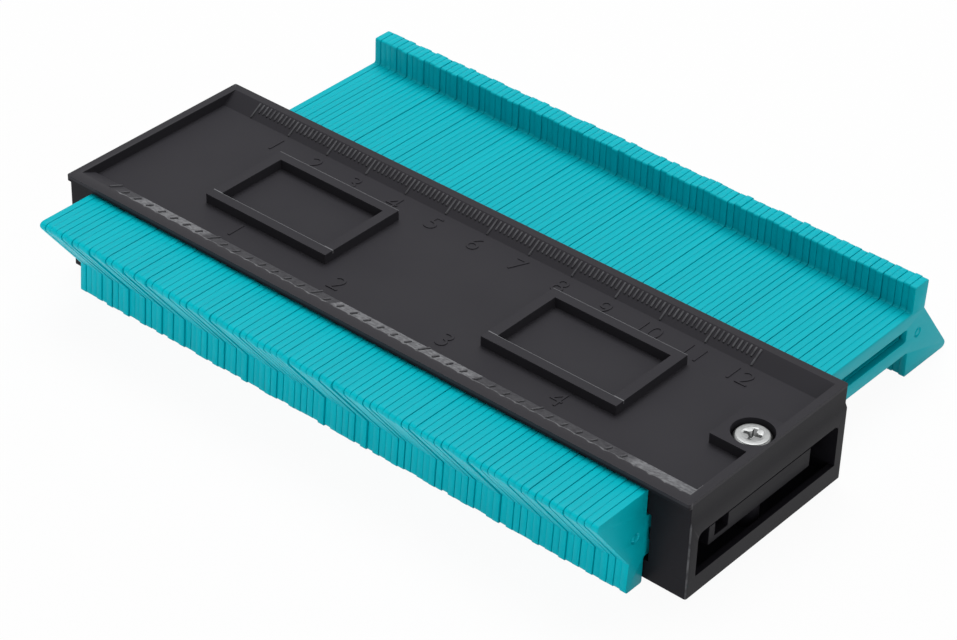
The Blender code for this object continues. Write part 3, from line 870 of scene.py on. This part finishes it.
class GAUGE_OT_body(bpy.types.Operator):
    """Round the moulded edges of the cover, the base plate and the guide bar"""
    bl_idname = "gauge.body"
    bl_label = "Body"

    def execute(self, context):
        sizes = context.scene.gauge_body
        for name, node_name, edge, reshape in (("cover_shell", "top_cover", sizes.edge, ease_cover),
                                               ("base_shell", "base_plate", sizes.fine_edge, None),
                                               ("slide_bar", "guide_bar", sizes.fine_edge, None)):
            made = moulded_copy(name, node_name, edge, reshape)
            finish_piece(context, made, black_abs, "body", "body_abs", node_name)
        return {"FINISHED"}


class GAUGE_OT_screw(bpy.types.Operator):
    """Model the pan-head screw with its cross recess"""
    bl_idname = "gauge.screw"
    bl_label = "Screw"

    def execute(self, context):
        sizes = context.scene.gauge_screw
        radius = (SCREW_HIGH.x - SCREW_LOW.x) / 2
        shoulder = SCREW_HIGH.z - sizes.crown
        seat = SCREW_HIGH.z - sizes.head_height
        bpy.ops.object.select_all(action="DESELECT")
        bpy.ops.mesh.primitive_cylinder_add(vertices=48, radius=radius, depth=shoulder - seat,
                                            location=(SCREW_X, 0, (shoulder + seat) / 2))
        screw = context.object
        screw.name = "pan_screw"
        settle(screw)
        edit(screw)
        pick("FACE", lambda co, normal: normal.z < -FACING)
        bpy.ops.mesh.inset(thickness=radius - sizes.shank_radius)
        extrude(0, 0, SCREW_LOW.z + sizes.shank_radius - seat)
        extrude(0, 0, -sizes.shank_radius)
        taper = sizes.tip_radius / sizes.shank_radius
        bpy.ops.transform.resize(value=(taper, taper, 1), center_override=(SCREW_X, 0, SCREW_LOW.z))
        pick("EDGE", lambda co, along: abs(co.z - shoulder) < NEAR)
        bpy.ops.mesh.bevel(offset=sizes.head_round, segments=5, affect="EDGES")
        pick("FACE", lambda co, normal: normal.z > FACING and abs(co.z - shoulder) < NEAR)
        for _ in range(2):
            bpy.ops.mesh.inset(thickness=(radius - sizes.head_round) / 3)
            move(0, 0, sizes.crown / 2)
        bpy.ops.object.mode_set(mode="OBJECT")

        for turn in (0, math.pi / 2):
            bpy.ops.mesh.primitive_cube_add(size=1.0)
            wing = context.object
            wing.scale = (sizes.cross_length, sizes.cross_width, 2 * sizes.cross_depth)
            wing.location = (SCREW_X, 0, SCREW_HIGH.z)
            wing.rotation_euler.z = sizes.cross_turn + turn
            settle(wing)
            edit(wing)
            pick("FACE", lambda co, normal: normal.z < -FACING)
            bpy.ops.transform.resize(value=(sizes.wing_taper, sizes.wing_taper, 1),
                                     center_override=(SCREW_X, 0, SCREW_HIGH.z))
            bpy.ops.object.mode_set(mode="OBJECT")
            cut(screw, wing)
        bpy.ops.mesh.primitive_cone_add(
            vertices=24, radius1=sizes.core_foot, radius2=sizes.core_top,
            depth=2 * sizes.cross_depth, location=(SCREW_X, 0, SCREW_HIGH.z))
        cut(screw, context.object)
        round_edges(screw, sizes.edge, angle=40.0)
        smooth(screw)
        finish_piece(context, screw, zinc_steel, "body", "screw_zinc", "cover_screw")
        return {"FINISHED"}


def scale_lines(name, sizes, step, count, whole, to_ramp):
    """Raised lines down a slope, a long one at each whole unit."""
    lines = []
    for number in range(count + 1):
        long = number % whole == 0
        run = sizes.long_line if long else sizes.short_line
        bpy.ops.mesh.primitive_cube_add(size=1.0)
        line = bpy.context.object
        line.scale = (sizes.line_width, run, 2 * sizes.line_height)
        line.location = (number * step, -sizes.top_margin - run / 2, 0.0)
        lines.append(line)
    made = join(lines, name)
    bpy.ops.object.transform_apply(location=True, rotation=True, scale=True)
    round_edges(made, sizes.line_edge)
    made.data.transform(to_ramp)
    smooth(made)
    return made


def numbers(name, sizes, values, step, start, y, z):
    """Raised plain numbers on the tray, upright from the front."""
    made = []
    for value in values:
        bpy.ops.object.text_add(location=(start + value * step, y - sizes.digit_height * TYPE_FOOT, z))
        text = bpy.context.object
        text.data.body = str(value)
        text.data.size = sizes.digit_height * TYPE_SIZE
        text.data.align_x = "CENTER"
        text.data.extrude = sizes.digit_relief
        text.data.bevel_depth = sizes.digit_edge
        text.data.offset = -sizes.digit_thinning
        text.data.space_character = TYPE_SPACE
        bpy.ops.object.convert(target="MESH")
        made.append(bpy.context.object)
    made = join(made, name)
    settle(made)
    smooth(made)
    return made


class GAUGE_OT_scales(bpy.types.Operator):
    """Raise the centimetre and inch scales on the slopes of the tray"""
    bl_idname = "gauge.scales"
    bl_label = "Scales"

    def execute(self, context):
        body = context.scene.gauge_body
        sizes = context.scene.gauge_scales
        start = COVER_LOW.x + sizes.start
        rear_edge = COVER_HIGH.y - body.step - body.side_rim
        front_edge = body.side_rim - COVER_HIGH.y
        rear_slope = math.atan2(body.tray_depth, body.ramp_width)
        front_slope = math.atan2(body.front_drop, body.ramp_width)
        floor = COVER_HIGH.z - body.tray_depth
        rear = Matrix.Translation((start, rear_edge, COVER_HIGH.z)) @ Matrix.Rotation(rear_slope, 4, "X")
        front = (Matrix.Translation((start, front_edge, COVER_HIGH.z))
                 @ Matrix.Rotation(-front_slope, 4, "X") @ Matrix.Scale(-1, 4, (0, 1, 0)))
        made = [
            scale_lines("centimetre_lines", sizes, 1.0 * MM, 120, 10, rear),
            scale_lines("inch_lines", sizes, INCH / 8, 38, 8, front),
            numbers("centimetre_numbers", sizes, range(1, 13), 10 * MM, start + sizes.rear_shift,
                    sizes.rear_row, floor),
            numbers("inch_numbers", sizes, range(1, 5), INCH, start - sizes.front_shift,
                    -sizes.front_row, floor),
        ]
        # The front lines were mirrored, which turned them inside out
        edit(made[1])
        bpy.ops.mesh.select_all(action="SELECT")
        bpy.ops.mesh.normals_make_consistent(inside=False)
        bpy.ops.object.mode_set(mode="OBJECT")
        for piece, maker in zip(made, (rubbed_abs, rubbed_abs, black_abs, black_abs)):
            finish_piece(context, piece, maker, "body", "body_abs")
        return {"FINISHED"}


class GAUGE_OT_stage(bpy.types.Operator):
    """Set up the pale floor, the soft light and the camera"""
    bl_idname = "gauge.stage"
    bl_label = "Stage"

    def execute(self, context):
        scene = context.scene
        scene.view_settings.view_transform = "Standard"
        self.floor(context)
        self.world(scene)
        self.lamps(context)
        self.camera(context)
        return {"FINISHED"}

    def seen(self, tree):
        """One where a ray comes from the camera, or from it by way of a reflection or glass."""
        path = node(tree, "ShaderNodeLightPath")
        total = node(tree, "ShaderNodeMath", {
            0: path.outputs["Is Camera Ray"], 1: path.outputs["Is Glossy Ray"]}, operation="ADD")
        return node(tree, "ShaderNodeMath", {0: total, 1: path.outputs["Is Transmission Ray"]},
                    operation="ADD", use_clamp=True)

    def floor(self, context):
        """A wide pale floor under the lowest leaf head, which keeps a light shadow."""
        bpy.ops.mesh.primitive_plane_add(size=FLOOR_SIZE, location=(0, 0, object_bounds()[0].z - NEAR))
        made = context.object
        made.name = "floor"
        paper, output = new_material("paper_matt")
        tree = paper.node_tree
        lit = node(tree, "ShaderNodeBsdfDiffuse", {"Color": (*context.scene.gauge_finishes.paper, 1.0)})
        white = node(tree, "ShaderNodeEmission", {"Color": (1, 1, 1, 1), "Strength": 1.0})
        share = node(tree, "ShaderNodeMath", {0: self.seen(tree), 1: FLOOR_WHITE}, operation="MULTIPLY")
        mixed = node(tree, "ShaderNodeMixShader", {0: share, 1: lit, 2: white})
        tree.links.new(mixed.outputs["Shader"], output.inputs["Surface"])
        made.data.materials.append(paper)
        made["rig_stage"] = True

    def world(self, scene):
        """White where it is seen, and a moderate grey where it lights the object."""
        scene.world = bpy.data.worlds.new("studio")
        scene.world.use_nodes = True
        tree = scene.world.node_tree
        tree.nodes.clear()
        level = node(tree, "ShaderNodeMapRange", {
            "Value": self.seen(tree), "To Min": WORLD_LEVEL, "To Max": 1.0})
        shine = node(tree, "ShaderNodeBackground", {"Color": (1, 1, 1, 1), "Strength": level})
        node(tree, "ShaderNodeOutputWorld", {"Surface": shine})

    def lamps(self, context):
        """A soft lamp overhead and slightly behind, a weaker one at the right, a low strip in front."""
        for name, place, width, height, watts in LAMPS:
            bpy.ops.object.light_add(type="AREA", location=place)
            lamp = context.object
            lamp.name = name
            lamp.data.shape = "RECTANGLE"
            lamp.data.size = width
            lamp.data.size_y = height
            lamp.data.energy = watts
            lamp.rotation_euler = Vector(place).to_track_quat("Z", "Y").to_euler()

    def camera(self, context):
        """The photograph's viewpoint: from the front right, looking down."""
        bpy.ops.object.camera_add()
        made = context.object
        made.name = "camera"
        made.data.sensor_width = SENSOR_WIDTH
        made.data.lens = CAMERA_LENS
        turn = (Matrix.Rotation(math.radians(CAMERA_AZIMUTH), 4, "Z")
                @ Matrix.Rotation(math.radians(90 - CAMERA_ELEVATION), 4, "X")
                @ Matrix.Rotation(math.radians(CAMERA_ROLL), 4, "Z"))
        made.matrix_world = Matrix.Translation(CAMERA_PLACE) @ turn
        context.scene.camera = made


class GAUGE_PT_panel(bpy.types.Panel):
    """Sizes, finishes and steps of the gauge"""
    bl_label = "Contour Gauge"
    bl_space_type = "VIEW_3D"
    bl_region_type = "UI"
    bl_category = "Gauge"

    def draw(self, context):
        for step in STEPS:
            self.layout.operator(step.bl_idname)
        for name in GROUPS:
            group = getattr(context.scene, name)
            box = self.layout.box()
            for key in group.__annotations__:
                box.prop(group, key)


GROUPS = {"gauge_leaves": LeafSizes, "gauge_body": BodySizes, "gauge_screw": ScrewSizes,
          "gauge_scales": ScaleSizes, "gauge_patterns": PatternSizes, "gauge_finishes": Finishes}
STEPS = (GAUGE_OT_leaves, GAUGE_OT_body, GAUGE_OT_screw, GAUGE_OT_scales, GAUGE_OT_stage)


def register():
    """Make the groups, operators and panel known to Blender."""
    for name, group in GROUPS.items():
        bpy.utils.register_class(group)
        setattr(bpy.types.Scene, name, bpy.props.PointerProperty(type=group))
    for each in (*STEPS, GAUGE_PT_panel):
        bpy.utils.register_class(each)


def unregister():
    """Undo what register did."""
    for each in (GAUGE_PT_panel, *reversed(STEPS)):
        bpy.utils.unregister_class(each)
    for name, group in GROUPS.items():
        delattr(bpy.types.Scene, name)
        bpy.utils.unregister_class(group)


def main():
    """Model every piece."""
    register()
    bpy.ops.gauge.leaves()
    bpy.ops.gauge.body()
    bpy.ops.gauge.screw()
    bpy.ops.gauge.scales()
    bpy.ops.gauge.stage()


if __name__ == "__main__":
    main()
